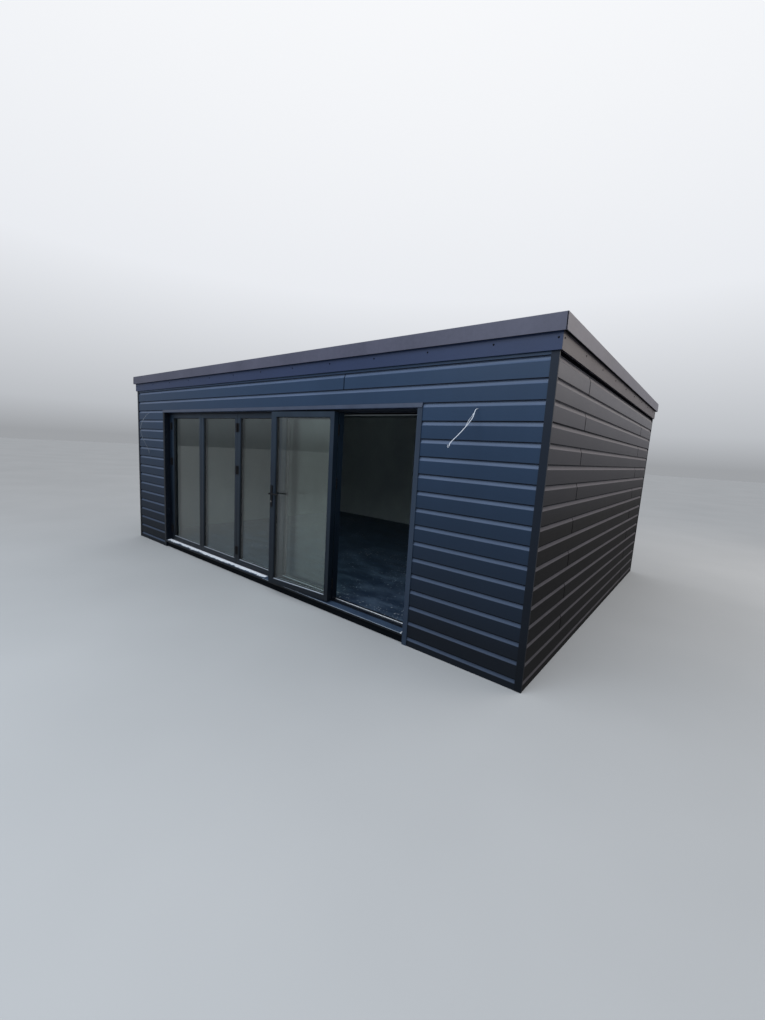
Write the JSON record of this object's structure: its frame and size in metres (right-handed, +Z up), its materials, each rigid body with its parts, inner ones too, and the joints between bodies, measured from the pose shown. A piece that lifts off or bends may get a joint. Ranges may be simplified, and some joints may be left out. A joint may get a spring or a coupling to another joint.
{
  "type": "garden office pod",
  "caption": "Flat-roofed garden office pod with shiplap cladding, a stepped roof edge and a wide set of glazed folding doors with the last leaf standing open.",
  "frame": {"origin": "centre of the footprint on the ground, on the underside of the base frame", "axes": "+X to the right along the front seen from outside, +Y from the front with the doors to the back, +Z up"},
  "size_m": [7.062, 5.3597, 2.754],
  "materials": {
    "frame_timber": "rough sawn, stained dark",
    "floor_boards": "satin",
    "wall_panels": "rough",
    "plaster": "matt painted plaster",
    "cladding": "satin",
    "fascia_board": "satin",
    "door_trim": "satin",
    "capping_sheet": "satin",
    "membrane": "matt",
    "door_frame": "powder coated satin",
    "glazing": "clear",
    "hardware": "satin",
    "cable_jacket": "satin"
  },
  "bodies": {
    "pod": {"base_frame": "frame_timber", "floor_deck": "floor_boards", "front_wall_left": "wall_panels", "front_wall_right": "wall_panels", "front_wall_header": "wall_panels", "left_wall": "wall_panels", "right_wall": "wall_panels", "back_wall": "wall_panels", "room_lining": "plaster", "front_cladding_left": "cladding", "front_cladding_right": "cladding", "front_cladding_header": "cladding", "left_cladding": "cladding", "right_cladding": "cladding", "back_cladding": "cladding", "corner_trims": "cladding", "door_trim_left": "door_trim", "door_trim_right": "door_trim", "door_trim_head": "door_trim", "roof_deck": "frame_timber", "roof_membrane": "membrane", "front_fascia": "fascia_board", "back_fascia": "fascia_board", "left_fascia": "fascia_board", "right_fascia": "fascia_board", "front_capping": "capping_sheet", "back_capping": "capping_sheet", "left_capping": "capping_sheet", "right_capping": "capping_sheet", "door_frame_head": "door_frame", "door_frame_jambs": "door_frame", "door_threshold": "door_frame", "door_cill": "door_frame", "folding_leaf_1": "door_frame", "folding_leaf_2": "door_frame", "folding_leaf_3": "door_frame", "folding_leaf_4": "door_frame", "folding_glass": "glazing", "fixed_hinges": "hardware", "cable_tail_left": "cable_jacket", "cable_tail_right": "cable_jacket"},
    "lead_door": {"lead_leaf": "door_frame", "lead_glass": "glazing", "lead_handles": "hardware", "lead_hinges": "hardware"}
  },
  "joints": [
    {"name": "lead_door_hinge", "type": "hinge", "parent": "pod", "child": "lead_door", "pos_m": [1.3387, -2.416, 1.13], "axis": [0, 0, 1], "range_deg": [0, 176]}
  ]
}
